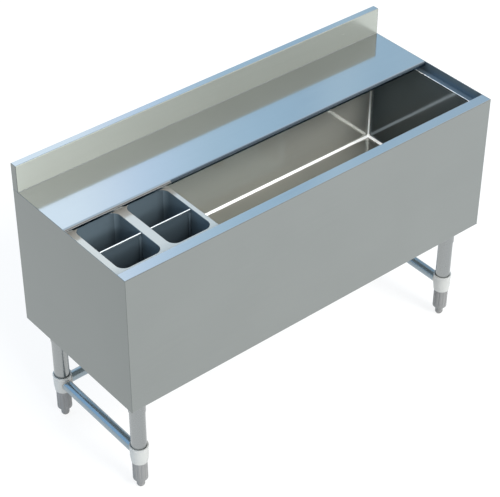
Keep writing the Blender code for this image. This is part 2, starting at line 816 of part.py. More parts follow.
def make_liner(steels):
    """Ice bin liner with coved corners, ledges and a sunk seat for the drain."""
    inside = (BIN_LEFT, BIN_RIGHT, BIN_FRONT, BIN_BACK)
    flange = (NARROW_BAR_MIDDLE + GAP / 2, INNER_RIGHT, RIM_BACK + GAP, LINER_BACK)
    shape = dished(inside, flange, BIN_FLOOR, BIN_CORNER, BIN_COVE)
    liner = make_object("bin_liner", shape, steels["liner_steel"])
    centre = (DRAIN_X, DRAIN_Y)
    cup = circle(RECESS_RADIUS + SHEET, DRAIN_FACETS, centre)
    seat = circle(RECESS_RADIUS, DRAIN_FACETS, centre)
    hole = circle(NIPPLE_RADIUS + NIPPLE_CLEARANCE, DRAIN_FACETS, centre)
    join(liner, extrude_z(cup, RECESS_FLOOR - SHEET, BIN_FLOOR - SHEET / 2))
    cut(liner, extrude_z(seat, RECESS_FLOOR, BIN_FLOOR + OVERRUN))
    cut(liner, extrude_z(hole, RECESS_FLOOR - OVERRUN, BIN_FLOOR))


def make_ledge_angles(steels):
    """Angles on the end panels that carry the ledges."""
    paths = {
        "ledge_angle_left": [
            (INNER_LEFT, ANGLE_FOOT),
            (INNER_LEFT, SHELF_TOP),
            (LEFT_LEDGE_END, SHELF_TOP),
        ],
        "ledge_angle_right": [
            (RIGHT_LEDGE_END, SHELF_TOP),
            (INNER_RIGHT, SHELF_TOP),
            (INNER_RIGHT, ANGLE_FOOT),
        ],
    }
    for name, path in paths.items():
        outline = folded(path, SHEET, [BEND])
        make_object(name, extrude_y(outline, SIDE_FRONT, SIDE_BACK), steels["frame_steel"])


def make_insulation(steels):
    """Foam slabs round and under the bin."""
    material = steels["foam"]
    low = TRAY_TOP + GAP
    under_shelf = SHELF_BOTTOM - GAP
    under_angle = ANGLE_FOOT - GAP
    under_liner = BIN_FLOOR - SHEET - GAP
    slabs = {
        "insulation_front": (INNER_LEFT, INNER_RIGHT, INNER_FRONT, SHELF_BACK, low, under_shelf),
        "insulation_rear": (INNER_LEFT, INNER_RIGHT, REAR_SHELF_FRONT, INNER_REAR, low, under_shelf),
        "insulation_left": (INNER_LEFT, LEFT_LEDGE_END, SIDE_FRONT, SIDE_BACK, low, under_angle),
        "insulation_right": (RIGHT_LEDGE_END, INNER_RIGHT, SIDE_FRONT, SIDE_BACK, low, under_angle),
    }
    for name, limits in slabs.items():
        make_object(name, box(*limits), material)
    shape = box(BIN_LEFT - SHEET, BIN_RIGHT + SHEET, SIDE_FRONT, SIDE_BACK, low, under_liner)
    slab = make_object("insulation_bottom", shape, material)
    hole = circle(RECESS_RADIUS + NUT_ROOM, DRAIN_FACETS, (DRAIN_X, DRAIN_Y))
    cut(slab, extrude_z(hole, low - OVERRUN, under_liner + OVERRUN))


def make_drain_body(steels):
    """Flanged drain nipple that leaves under the body."""
    bore = NIPPLE_RADIUS - NIPPLE_WALL
    profile = [
        (bore, DRAIN_FLANGE_TOP),
        (DRAIN_FLANGE_RADIUS, DRAIN_FLANGE_TOP),
        (DRAIN_FLANGE_RADIUS, DRAIN_FLANGE_FOOT),
        (NIPPLE_RADIUS, DRAIN_FLANGE_FOOT),
        (NIPPLE_RADIUS, OUTLET),
        (bore, OUTLET),
    ]
    shape = turned(profile, (DRAIN_X, DRAIN_Y), DRAIN_FACETS, closed=True)
    make_object("drain_body", shape, steels["drain_brass"], (DRAIN_X, DRAIN_Y, OUTLET))


def make_drain_gasket(steels):
    """Rubber ring between the drain flange and the liner."""
    bore = NIPPLE_RADIUS + NIPPLE_CLEARANCE
    high = GASKET_FOOT + GASKET
    profile = [
        (bore, GASKET_FOOT),
        (DRAIN_FLANGE_RADIUS, GASKET_FOOT),
        (DRAIN_FLANGE_RADIUS, high),
        (bore, high),
    ]
    shape = turned(profile, (DRAIN_X, DRAIN_Y), DRAIN_FACETS, closed=True)
    make_object("drain_gasket", shape, steels["gasket_rubber"], (DRAIN_X, DRAIN_Y, GASKET_FOOT))


def hexagon(apothem, facets, centre):
    """Return a hexagon's outline in as many points as a circle of the same facets."""
    points = []
    for index in range(facets):
        angle = math.tau * index / facets
        across = angle % HEX_STEP - HEX_STEP / 2
        radius = apothem / math.cos(across)
        points.append((centre[0] + radius * math.cos(angle), centre[1] + radius * math.sin(angle)))
    return points


def make_drain_locknut(steels):
    """Hexagon nut that clamps the drain under the liner."""
    centre = (DRAIN_X, DRAIN_Y)
    bore = circle(NIPPLE_RADIUS + GAP, DRAIN_FACETS, centre)
    flats = hexagon(NUT_APOTHEM, DRAIN_FACETS, centre)
    low = NUT_TOP - NUT_HEIGHT
    rings = [raised(bore, low), raised(flats, low), raised(flats, NUT_TOP), raised(bore, NUT_TOP)]
    make_object("drain_locknut", loft(rings, closed=True), steels["drain_brass"], (*centre, low))


def make_drain_strainer(steels):
    """Lift-out strainer with a knob, drilled holes and a locating ring."""
    centre = (DRAIN_X, DRAIN_Y)
    low = DRAIN_FLANGE_TOP + GAP
    high = low + STRAINER_SHEET
    ring_foot = low - STRAINER_RING_DEPTH
    profile = [
        (STRAINER_RING - STRAINER_RING_WALL, low),
        (STRAINER_RING - STRAINER_RING_WALL, ring_foot),
        (STRAINER_RING, ring_foot),
        (STRAINER_RING, low),
        (STRAINER_RADIUS, low),
        (STRAINER_RADIUS, high),
        (KNOB_RADIUS, high),
        (KNOB_RADIUS, high + KNOB_HEIGHT),
    ]
    shape = turned(profile, centre, DRAIN_FACETS)
    strainer = make_object("drain_strainer", shape, steels["liner_steel"], (*centre, low))
    holes = []
    for x, y in circle(STRAINER_HOLE_CIRCLE, 8, centre):
        hole = circle(STRAINER_HOLE_RADIUS, 8, (x, y))
        holes.append(extrude_z(hole, ring_foot, high + KNOB_HEIGHT))
    cut(strainer, gather(holes))


def build():
    """Build every piece."""
    clear_scene()
    steels = make_materials()
    makers = (
        make_front_apron, make_end_panels, make_rear_panel, make_bottom_panel,
        make_leg_channels, make_sockets, make_tubes, make_collars, make_inserts,
        make_feet, make_braces, make_top_deck, make_splash_ends, make_deck_stiffener,
        make_well_frame, make_well_pans, make_dividers, make_liner, make_ledge_angles,
        make_insulation, make_drain_body, make_drain_gasket, make_drain_locknut,
        make_drain_strainer,
    )
    for maker in makers:
        maker(steels)


build()
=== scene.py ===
"""Looks of the underbar ice bin: fine sheet metal, legs, drain, materials, studio and camera."""

import math

import bmesh
import bpy
from mathutils import Matrix, Vector


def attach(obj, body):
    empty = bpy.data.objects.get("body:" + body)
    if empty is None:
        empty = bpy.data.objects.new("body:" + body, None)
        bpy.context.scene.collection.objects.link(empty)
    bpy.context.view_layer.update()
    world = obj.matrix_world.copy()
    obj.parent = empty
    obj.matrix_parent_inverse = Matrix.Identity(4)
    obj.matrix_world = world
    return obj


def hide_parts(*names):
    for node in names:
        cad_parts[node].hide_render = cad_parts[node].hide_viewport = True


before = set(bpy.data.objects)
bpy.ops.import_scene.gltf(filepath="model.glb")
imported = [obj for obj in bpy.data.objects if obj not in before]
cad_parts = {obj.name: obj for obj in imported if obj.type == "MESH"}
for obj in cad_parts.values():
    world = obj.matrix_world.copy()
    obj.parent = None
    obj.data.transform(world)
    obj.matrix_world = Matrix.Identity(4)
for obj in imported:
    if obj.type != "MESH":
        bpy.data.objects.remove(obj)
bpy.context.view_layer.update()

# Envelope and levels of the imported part, in metres
LENGTH = 1.219
DEPTH = 0.470
LEFT, RIGHT = -LENGTH / 2, LENGTH / 2
FRONT, REAR = -DEPTH / 2, DEPTH / 2
DECK = 0.756
BOTTOM = 0.333
SPLASH_TOP = 0.8355
SPLASH_DEPTH = 0.0215
SHEET = 0.0012
DECK_SHEET = 0.0015
GAP = 0.0003
INNER_LEFT, INNER_RIGHT = LEFT + SHEET + GAP, RIGHT - SHEET - GAP
RIM_BACK = FRONT + 0.0325
LIP = FRONT + 0.248
HEM = DECK - 0.013
SUNK = 0.730
FLANGE_TOP = SUNK - SHEET - GAP
FLANGE_FOOT = FLANGE_TOP - SHEET
SHELF_TOP = FLANGE_FOOT - GAP

# Folds, returns and edges that several sheets share
FOLD = 0.0008
FOOT_RETURN = 0.014
DECK_RETURN = 0.019
TOP_ROLL = 0.0011
EASED_EDGE = 0.0003

# Wells and bin, as low and high limits along the length and the depth
WELLS = {
    "left": (LEFT + 0.0365, LEFT + 0.1622),
    "right": (LEFT + 0.1887, LEFT + 0.3144),
}
WELL_FRONT, WELL_BACK = RIM_BACK + 0.031, LIP + 0.019
FRAME_BACK = WELL_BACK + 0.023
WIDE_BAR = (WELLS["left"][1] + WELLS["right"][0]) / 2
BIN_LEFT, BIN_RIGHT = LEFT + 0.3259, RIGHT - 0.019
NARROW_BAR = (WELLS["right"][1] + BIN_LEFT) / 2
BIN_FRONT, BIN_BACK = RIM_BACK + 0.018, REAR - 0.030
WELL_FLOOR, WELL_CORNER, WELL_COVE = 0.480, 0.024, 0.010
BIN_FLOOR, BIN_CORNER, BIN_COVE = 0.413, 0.014, 0.0125
DIVIDER = (WELL_FRONT + LIP) / 2
DRAIN = ((BIN_LEFT + BIN_RIGHT) / 2, (BIN_FRONT + BIN_BACK) / 2)
DRAIN_TOP = 0.4126

# Legs
LEGS = {
    "front_left": (LEFT + 0.0535, FRONT + 0.056),
    "front_right": (RIGHT - 0.061, FRONT + 0.056),
    "rear_left": (LEFT + 0.0535, REAR - 0.0638),
    "rear_right": (RIGHT - 0.061, REAR - 0.0638),
}
TUBE, TUBE_WALL = 0.0211, 0.0015
COLLAR_FOOT, COLLAR_TOP, COLLAR_RIM, COLLAR_BODY = 0.092, 0.148, 0.0258, 0.0248
BRACE_HEIGHT, BRACE, BRACE_FACETS = 0.120, 0.015, 48

# Tests that pick faces: a distance that counts as touching, and a share that counts as facing
NEAR = 0.0001
FACING = 0.9

# Camera, fitted to the photograph
CAMERA_PLACE = (-2.23785976, -2.64375508, 3.13963686)
CAMERA_TURN = (2.13296105, -0.765814156, 0.376243827)
CAMERA_LENS = 116.547


# Outlines and solids

def quarter_turn(steps):
    """Return the angles of a quarter turn in even steps."""
    return [math.pi / 2 * step / steps for step in range(steps + 1)]


def full_turn(steps):
    """Return the angles of a full turn in even steps, without its end."""
    return [math.tau * step / steps for step in range(steps)]


def loft(rings, closed=False):
    """Skin rings of equal counts, and close the ends or run round to the start."""
    shape = bmesh.new()
    loops = [[shape.verts.new(point) for point in ring] for ring in rings]
    pairs = list(zip(loops, loops[1:]))
    if closed:
        pairs.append((loops[-1], loops[0]))
    else:
        shape.faces.new(loops[0][::-1])
        shape.faces.new(loops[-1])
    for low, high in pairs:
        count = len(low)
        for index in range(count):
            after = (index + 1) % count
            shape.faces.new((low[index], low[after], high[after], high[index]))
    return shape


def gather(shapes):
    """Put several separate shapes into one."""
    whole = bmesh.new()
    for shape in shapes:
        spare = bpy.data.meshes.new("spare")
        shape.to_mesh(spare)
        shape.free()
        whole.from_mesh(spare)
        bpy.data.meshes.remove(spare)
    return whole


def extrude(outline, axis, start, end):
    """Extrude an outline along X or Z."""
    build = {
        "x": lambda a, b, place: (place, a, b),
        "z": lambda a, b, place: (a, b, place),
    }[axis]
    return loft([[build(a, b, place) for a, b in outline] for place in (start, end)])


def rounded(low_x, high_x, low_y, high_y, radius, steps=10):
    """Return a rectangle with rounded corners."""
    centres = (
        (high_x - radius, high_y - radius),
        (low_x + radius, high_y - radius),
        (low_x + radius, low_y + radius),
        (high_x - radius, low_y + radius),
    )
    points = []
    for quarter, (centre_x, centre_y) in enumerate(centres):
        for step in range(steps + 1):
            angle = math.pi / 2 * (quarter + step / steps)
            points.append((centre_x + radius * math.cos(angle), centre_y + radius * math.sin(angle)))
    return points


def grown(limits, corner, extra):
    """Return a rounded rectangle made larger on every side, or smaller."""
    low_x, high_x, low_y, high_y = limits
    return rounded(low_x - extra, high_x + extra, low_y - extra, high_y + extra, corner + extra)


def raised(outline, height):
    """Put a flat outline at a height."""
    return [(a, b, height) for a, b in outline]


def circle(radius, facets, centre=(0, 0)):
    """Return the points of a circle."""
    return [(centre[0] + radius * math.cos(a), centre[1] + radius * math.sin(a)) for a in full_turn(facets)]


def turned(profile, centre, facets=64, closed=False):
    """Turn a (radius, height) profile about an upright axis."""
    return loft([raised(circle(r, facets, centre), z) for r, z in profile], closed)


def softened(points, radius, closed=False, steps=4, most=0.45):
    """Round the corners of a flat line of points, each by at most a share of its sides."""
    count = len(points)
    result = []
    for index, point in enumerate(points):
        if not closed and index in (0, count - 1):
            result.append(tuple(point))
            continue
        corner = Vector(point)
        before = Vector(points[index - 1]) - corner
        after = Vector(points[(index + 1) % count]) - corner
        start = corner + before.normalized() * min(radius, before.length * most)
        end = corner + after.normalized() * min(radius, after.length * most)
        for step in range(steps + 1):
            t = step / steps
            result.append(tuple(start * (1 - t) ** 2 + corner * 2 * t * (1 - t) + end * t * t))
    return result


def folded(path, sheet, bends, steps=8):
    """Return the outline of a folded sheet; the path is its outer side, metal on the right hand."""
    points = [Vector(point) for point in path]
    hand = lambda way: Vector((way.y, -way.x))
    first_way = (points[1] - points[0]).normalized()
    last_way = (points[-1] - points[-2]).normalized()
    outer = [points[0]]
    inner = [points[0] + hand(first_way) * sheet]
    for before, corner, after, bend in zip(points, points[1:], points[2:], bends):
        arrive = (corner - before).normalized()
        leave = (after - corner).normalized()
        right_turn = arrive.cross(leave) < 0
        toward = 1 if right_turn else -1
        outer_radius = bend + sheet if right_turn else bend
        inner_radius = bend if right_turn else bend + sheet
        first = hand(arrive) * -toward
        last = hand(leave) * -toward
        centre = corner - arrive * outer_radius - first * outer_radius
        for angle in quarter_turn(steps):
            spoke = first * math.cos(angle) + last * math.sin(angle)
            outer.append(centre + spoke * outer_radius)
            inner.append(centre + spoke * inner_radius)
    outer.append(points[-1])
    inner.append(points[-1] + hand(last_way) * sheet)
    return [tuple(point) for point in outer + inner[::-1]]


# Pieces

def make_piece(name, shape, material, nodes=(), body="cabinet", edge=0, patches=()):
    """Turn a shape into a finished piece that rides a body and stands for CAD nodes.

    Each patch is a material and a test that says which faces wear it.
    """
    bmesh.ops.remove_doubles(shape, verts=shape.verts, dist=0.00001)
    bmesh.ops.recalc_face_normals(shape, faces=shape.faces)
    mesh = bpy.data.meshes.new(name)
    shape.to_mesh(mesh)
    shape.free()
    thing = bpy.data.objects.new(name, mesh)
    bpy.context.collection.objects.link(thing)
    mesh.materials.append(material)
    smooth(thing)
    for index, (other, belongs) in enumerate(patches):
        mesh.materials.append(other)
        for face in mesh.polygons:
            if belongs(face):
                face.material_index = index + 1
    if edge:
        bevel = thing.modifiers.new("edge", "BEVEL")
        bevel.width = edge
        bevel.segments = 2
        bevel.limit_method = "ANGLE"
        bevel.angle_limit = math.radians(50)
    flatten = thing.modifiers.new("flat_faces", "WEIGHTED_NORMAL")
    flatten.keep_sharp = True
    flatten.weight = 100
    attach(thing, body)
    if nodes:
        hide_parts(*nodes)
    return thing


def smooth(thing):
    """Shade curved faces smooth and keep the folds sharp."""
    for face in thing.data.polygons:
        face.use_smooth = True
    thing.data.set_sharp_from_angle(angle=math.radians(32))


def carve(thing, shape):
    """Cut a shape out of a piece."""
    mesh = bpy.data.meshes.new("cutter")
    bmesh.ops.recalc_face_normals(shape, faces=shape.faces)
    shape.to_mesh(mesh)
    shape.free()
    tool = bpy.data.objects.new("cutter", mesh)
    bpy.context.collection.objects.link(tool)
    step = thing.modifiers.new("carve", "BOOLEAN")
    step.operation = "DIFFERENCE"
    step.solver = "EXACT"
    step.object = tool
    bpy.context.view_layer.update()
    bpy.context.view_layer.objects.active = thing
    bpy.ops.object.modifier_apply(modifier=step.name)
    bpy.data.objects.remove(tool, do_unlink=True)
    smooth(thing)


def split(thing, name):
    """Move the faces of a piece's first patch to a piece of their own."""
    other = bpy.data.objects.new(name, thing.data.copy())
    bpy.context.collection.objects.link(other)
    for piece, kept in ((thing, False), (other, True)):
        shape = bmesh.new()
        shape.from_mesh(piece.data)
        gone = [face for face in shape.faces if (face.material_index == 1) != kept]
        bmesh.ops.delete(shape, geom=gone, context="FACES")
        shape.to_mesh(piece.data)
        shape.free()
    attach(other, "cabinet")


# Materials

# Sockets of a Mix node that mixes colours
COLOUR_A, COLOUR_B, MIXED = 6, 7, 2

# Waves of the grain in a metre along X, Y and Z: few along the brushing, many across it
ALONG_X = (6, 700, 700)
ALONG_Y = (700, 6, 700)
ALONG_Z = (700, 700, 6)

# Finishes that several surfaces share
FINE = {"relief": 0.03}
CLEAN = {"relief": 0.03, "scuffs": 0.1}
POLISHED = {"relief": 0.01, "spread": 0.015, "scuffs": 0.1}

LEAST_ROUGHNESS = 0.02
SCUFF_ROUGHNESS = 0.2


def add(tree, kind, **values):
    """Add a shader node and set its properties and unlinked inputs."""
    node = tree.nodes.new(kind)
    for key, value in values.items():
        if hasattr(node, key):
            setattr(node, key, value)
        else:
            node.inputs[key.replace("_", " ")].default_value = value
    return node


def shade(base, amount):
    """Return a colour made lighter or darker by a share."""
    return (*(min(1, max(0, c * (1 + amount))) for c in base), 1)


def even(waves):
    """Return a grain that runs alike in all directions."""
    return (waves, waves, waves)


def surface(name, base, metallic, roughness, grain, mottle=0.04, relief=0.05, spread=0.05, scuffs=0.3):
    """Return a material with a grain, soft patches, fine scuffs and a little relief."""
    material = bpy.data.materials.new(name)
    material.use_nodes = True
    tree = material.node_tree
    link = tree.links.new
    shader = tree.nodes["Principled BSDF"]
    shader.inputs["Metallic"].default_value = metallic
    place = add(tree, "ShaderNodeTexCoord").outputs["Object"]

    # Noises for the grain, the patches and the scuffs
    stretch = add(tree, "ShaderNodeMapping", Scale=grain)
    link(place, stretch.inputs["Vector"])
    fine = add(tree, "ShaderNodeTexNoise", Scale=1.0, Detail=5.0, Roughness=0.65)
    link(stretch.outputs["Vector"], fine.inputs["Vector"])
    cloud = add(tree, "ShaderNodeTexNoise", Scale=4.5, Detail=3.0, Roughness=0.5)
    link(place, cloud.inputs["Vector"])
    lines = add(tree, "ShaderNodeTexNoise", Scale=60.0, Detail=2.0, Distortion=1.5)
    link(place, lines.inputs["Vector"])
    scuff = add(tree, "ShaderNodeMapRange", From_Min=0.66, From_Max=0.74)
    link(lines.outputs["Fac"], scuff.inputs["Value"])

    # Colour: patches, with the grain over them
    blend = add(tree, "ShaderNodeMix", data_type="RGBA")
    link(cloud.outputs["Fac"], blend.inputs["Factor"])
    blend.inputs[COLOUR_A].default_value = shade(base, -mottle)
    blend.inputs[COLOUR_B].default_value = shade(base, mottle)
    streak = add(tree, "ShaderNodeMix", data_type="RGBA", blend_type="MULTIPLY")
    streak.inputs["Factor"].default_value = 1
    tone = add(tree, "ShaderNodeMapRange", From_Min=0.3, From_Max=0.7)
    tone.inputs["To Min"].default_value = 1 - mottle / 2
    tone.inputs["To Max"].default_value = 1 + mottle / 2
    link(fine.outputs["Fac"], tone.inputs["Value"])
    link(blend.outputs[MIXED], streak.inputs[COLOUR_A])
    link(tone.outputs["Result"], streak.inputs[COLOUR_B])
    link(streak.outputs[MIXED], shader.inputs["Base Color"])

    # Roughness: the grain, with the scuffs on top
    gloss = add(tree, "ShaderNodeMapRange", From_Min=0.3, From_Max=0.7)
    gloss.inputs["To Min"].default_value = max(LEAST_ROUGHNESS, roughness - spread / 2)
    gloss.inputs["To Max"].default_value = roughness + spread / 2
    link(fine.outputs["Fac"], gloss.inputs["Value"])
    worn = add(tree, "ShaderNodeMath", operation="MULTIPLY_ADD")
    worn.inputs[1].default_value = scuffs * SCUFF_ROUGHNESS
    link(scuff.outputs["Result"], worn.inputs[0])
    link(gloss.outputs["Result"], worn.inputs[2])
    link(worn.outputs["Value"], shader.inputs["Roughness"])

    bump = add(tree, "ShaderNodeBump", Strength=relief, Distance=0.0002)
    link(fine.outputs["Fac"], bump.inputs["Height"])
    link(bump.outputs["Normal"], shader.inputs["Normal"])
    return material


def make_materials():
    """Make each material once and return them by name: colour, metallic, roughness and grain."""
    return {
        # Casing and deck
        "casing": surface("casing_brushed", (0.312, 0.332, 0.322), 1, 0.14, ALONG_X),
        # End panels and splash end plates: the casing's steel painted darker, a painted shade on the ends
        "side": surface("side_painted_shade", (0.208, 0.226, 0.219), 1, 0.14, ALONG_Y),
        "deck": surface("deck_brushed", (0.600, 0.605, 0.605), 1, 0.10, ALONG_X, **FINE),
        # Nose over the bin: the deck's steel painted dark blue, a painted reflection of the dark bin below
        # it
        "nose": surface("nose_painted_bin_reflection", (0.200, 0.250, 0.300), 1, 0.16, ALONG_X, **FINE),
        "splash": surface("splash_brushed", (0.429, 0.455, 0.414), 0.45, 0.24, ALONG_X, **CLEAN),
        # Bin and wells
        "liner": surface("liner_polished", (0.560, 0.560, 0.510), 0.55, 0.07, ALONG_X, **POLISHED),
        # Bin end walls: the liner's steel painted near black, a painted shade
        "liner_end": surface("liner_end_painted_shade", (0.138, 0.160, 0.175), 0.7, 0.07, ALONG_Z, **POLISHED),
        # Wells: the steel painted dark blue-grey, a painted shade inside the wells
        "pan": surface("pan_painted_shade", (0.118, 0.160, 0.192), 0.4, 0.16, ALONG_Z, **FINE),
        "bar": surface("bar_brushed", (0.535, 0.520, 0.480), 0.55, 0.16, ALONG_X, **CLEAN),
        # Left-facing well walls: painted lighter than the rest of the wells, a painted light on one side
        "pan_side": surface("pan_side_painted_light", (0.200, 0.270, 0.320), 0.4, 0.16, ALONG_Z, **FINE),
        # Dividers: the steel painted near black, a painted shade inside the wells
        "divider": surface("divider_painted_shade", (0.072, 0.098, 0.118), 0.4, 0.16, ALONG_Z, **FINE),
        # Ledges and the inner face of the right end: the steel painted dark blue-grey, a painted shade
        "ledge": surface("ledge_painted_shade", (0.170, 0.225, 0.270), 0.5, 0.24, ALONG_Y, **CLEAN),
        # Coves of the bin and hems of the dividers: steel painted pale, a painted highlight; the strainer
        # wears it too
        "seam": surface("seam_painted_highlight", (0.900, 0.905, 0.895), 0.4, 0.30, even(90), relief=0.005, scuffs=0),
        # Frame and legs
        "frame": surface("frame_galvanised", (0.45, 0.46, 0.47), 1, 0.45, even(60), mottle=0.12),
        "tube": surface("tube_satin", (0.335, 0.350, 0.350), 1, 0.26, even(350)),
        "collar": surface("collar_cast", (0.50, 0.505, 0.49), 0.2, 0.38, even(420), relief=0.3),
        "weld": surface("weld_bead", (0.48, 0.47, 0.44), 1, 0.34, even(260), mottle=0.15),
        # Braces: the steel tinted blue, a painted reflection of the sky
        "brace": surface("brace_painted_sky_reflection", (0.285, 0.345, 0.382), 0.9, 0.24, ALONG_Y, **FINE),
        "foot": surface("foot_moulded", (0.225, 0.225, 0.225), 0, 0.42, even(900), relief=0.25),
        "insert": surface("insert_zinc", (0.50, 0.50, 0.47), 1, 0.36, (200, 200, 900)),
        # Foam and drain
        "foam": surface("foam_cells", (0.78, 0.70, 0.46), 0, 0.85, even(500), mottle=0.1, relief=1.0),
        "brass": surface("drain_plated", (0.62, 0.54, 0.36), 1, 0.30, even(300)),
        "rubber": surface("gasket_moulded", (0.03, 0.03, 0.03), 0, 0.7, even(800), relief=0.4),
    }


# Sheet metal

def make_apron(m):
    """Front face with its rim, inner drop and shelf."""
    rim_level, drop_front = DECK - 0.0009, RIM_BACK - 0.003
    shelf_back = BIN_FRONT - SHEET - GAP
    path = [
        (FRONT + FOOT_RETURN, BOTTOM),
        (FRONT, BOTTOM),
        (FRONT, DECK),
        (RIM_BACK, DECK),
        (RIM_BACK, SHELF_TOP),
        (shelf_back, SHELF_TOP),
    ]
    shape = extrude(folded(path, SHEET, [FOLD] * 4), "x", LEFT + SHEET, RIGHT - SHEET)
    on_rim = lambda face: face.center.z > rim_level or face.center.y > drop_front
    make_piece("front_apron_sheet", shape, m["casing"], ["front_apron"],
               patches=[(m["deck"], on_rim)])


def make_ends(m):
    """End panels with eased edges."""
    # The inner face of the right end wears the ledge's painted shade
    inner_right_painted_shade = lambda face: face.center.x > 0 and face.normal.x < -FACING
    # Both end panels wear the side material's painted shade
    for side, low in (("left", LEFT), ("right", RIGHT - SHEET)):
        outline = rounded(FRONT, REAR, BOTTOM, DECK, radius=0.0005, steps=2)
        shape = extrude(outline, "x", low, low + SHEET)
        make_piece(side + "_end_sheet", shape, m["side"], [side + "_end_panel"],
                   edge=EASED_EDGE, patches=[(m["ledge"], inner_right_painted_shade)])


def make_rear(m):
    """Rear face with its shelf and return."""
    path = [
        (BIN_BACK + SHEET + GAP, SHELF_TOP),
        (REAR, SHELF_TOP),
        (REAR, BOTTOM),
        (REAR - FOOT_RETURN, BOTTOM),
    ]
    shape = extrude(folded(path, SHEET, [FOLD] * 2), "x", LEFT + SHEET, RIGHT - SHEET)
    make_piece("rear_sheet", shape, m["casing"], ["rear_panel"])


def make_deck(m):
    """Deck with its bullnose lip and the boxed splash."""
    tuck, bullnose, splash_bend = 0.015, 0.0065, 0.001
    splash_foot = DECK + 0.004
    nose_tilt = 0.35
    path = [
        (LIP + tuck, HEM),
        (LIP, HEM),
        (LIP, DECK),
        (REAR - SPLASH_DEPTH, DECK),
        (REAR - SPLASH_DEPTH, SPLASH_TOP),
        (REAR, SPLASH_TOP),
        (REAR, FLANGE_FOOT),
        (REAR - DECK_RETURN, FLANGE_FOOT),
    ]
    bends = [FOLD, bullnose, splash_bend, splash_bend, splash_bend, FOLD]
    outline = folded(path, DECK_SHEET, bends, steps=12)
    shape = loft([[(x, y, z) for y, z in outline] for x in (LEFT + SHEET, BIN_LEFT, RIGHT - SHEET)])

    def on_splash(face):
        return face.center.z > splash_foot and face.center.y < REAR - SPLASH_DEPTH + splash_bend

    def behind(face):
        return face.normal.y > FACING and face.center.y > REAR - NEAR

    # The nose faces over the bin wear a painted reflection of the dark bin
    def on_nose_painted_reflection(face):
        return face.normal.y < -nose_tilt and face.center.z < DECK and face.center.x > BIN_LEFT

    patches = [(m["splash"], on_splash), (m["casing"], behind), (m["nose"], on_nose_painted_reflection)]
    make_piece("deck_sheet", shape, m["deck"], ["top_deck"], patches=patches)


def make_splash_ends(m):
    """Plates that close both ends of the splash."""
    radius = 0.0025
    low_y = REAR - SPLASH_DEPTH
    outline = [(low_y, DECK + GAP)]
    for centre_y, start in ((low_y + radius, math.pi), (REAR - radius, math.pi / 2)):
        for turn in quarter_turn(steps=8):
            angle = start - turn
            height = SPLASH_TOP - radius + radius * math.sin(angle)
            outline.append((centre_y + radius * math.cos(angle), height))
    outline.append((REAR, DECK + GAP))
    for side, low in (("left", LEFT), ("right", RIGHT - SHEET)):
        # The splash end plates wear the side material's painted shade
        make_piece("splash_plate_" + side, extrude(outline, "x", low, low + SHEET), m["side"],
                   ["splash_end_" + side], edge=EASED_EDGE)


def make_well_frame(m):
    """Sunk plate with softly rolled openings for the wells."""
    cells = (("left", INNER_LEFT, WIDE_BAR), ("right", WIDE_BAR, BIN_LEFT))
    shapes = []
    for side, cell_low, cell_high in cells:
        opening = (*WELLS[side], WELL_FRONT, WELL_BACK)
        around = rounded(cell_low, cell_high, RIM_BACK + GAP, FRAME_BACK, 0)
        rings = [raised(around, SUNK - SHEET), raised(grown(opening, WELL_CORNER, 0), SUNK - SHEET)]
        for angle in quarter_turn(steps=6):
            grow = TOP_ROLL * (1 - math.cos(angle))
            height = SUNK - TOP_ROLL + TOP_ROLL * math.sin(angle)
            rings.append(raised(grown(opening, WELL_CORNER, grow), height))
        rings.append(raised(around, SUNK))
        shapes.append(loft(rings, closed=True))
    make_piece("well_frame_sheet", gather(shapes), m["bar"], ["well_frame"])


def dish_sides(inside, flange, floor, corner, cove):
    """Return the inner and the outer rings of a pan, each from its floor to its flange."""
    flange_corner = 0.001
    inner_side = (0, FLANGE_TOP, TOP_ROLL, quarter_turn(steps=4))
    outer_side = (SHEET, FLANGE_FOOT, 0, [0])
    sides = []
    for sheet, level, roll, roll_angles in (inner_side, outer_side):
        radius = cove + sheet
        side = []
        for angle in quarter_turn(steps=10)[::-1]:
            inset = cove - radius * math.cos(angle)
            side.append(raised(grown(inside, corner, -inset), floor + cove - radius * math.sin(angle)))
        for angle in roll_angles:
            grow = sheet + roll * (1 - math.cos(angle))
            side.append(raised(grown(inside, corner, grow), level - roll + roll * math.sin(angle)))
        side.append(raised(rounded(*flange, flange_corner), level))
        sides.append(side)
    return sides


def make_pans(m):
    """Bottle wells with coved floors."""
    half = GAP / 2
    side_tilt = 0.7
    spans = {"left": (INNER_LEFT, WIDE_BAR - half), "right": (WIDE_BAR + half, NARROW_BAR - half)}
    # The wells' left-facing walls wear a painted light
    left_facing_painted_light = lambda face: face.normal.x < -side_tilt
    for side, limits in WELLS.items():
        inside = (*limits, WELL_FRONT, WELL_BACK)
        flange = (*spans[side], RIM_BACK + GAP, FRAME_BACK)
        inner, outer = dish_sides(inside, flange, WELL_FLOOR, WELL_CORNER, WELL_COVE)
        make_piece("well_pan_sheet_" + side, loft(inner + outer[::-1]), m["pan"], ["well_pan_" + side],
                   patches=[(m["pan_side"], left_facing_painted_light)])


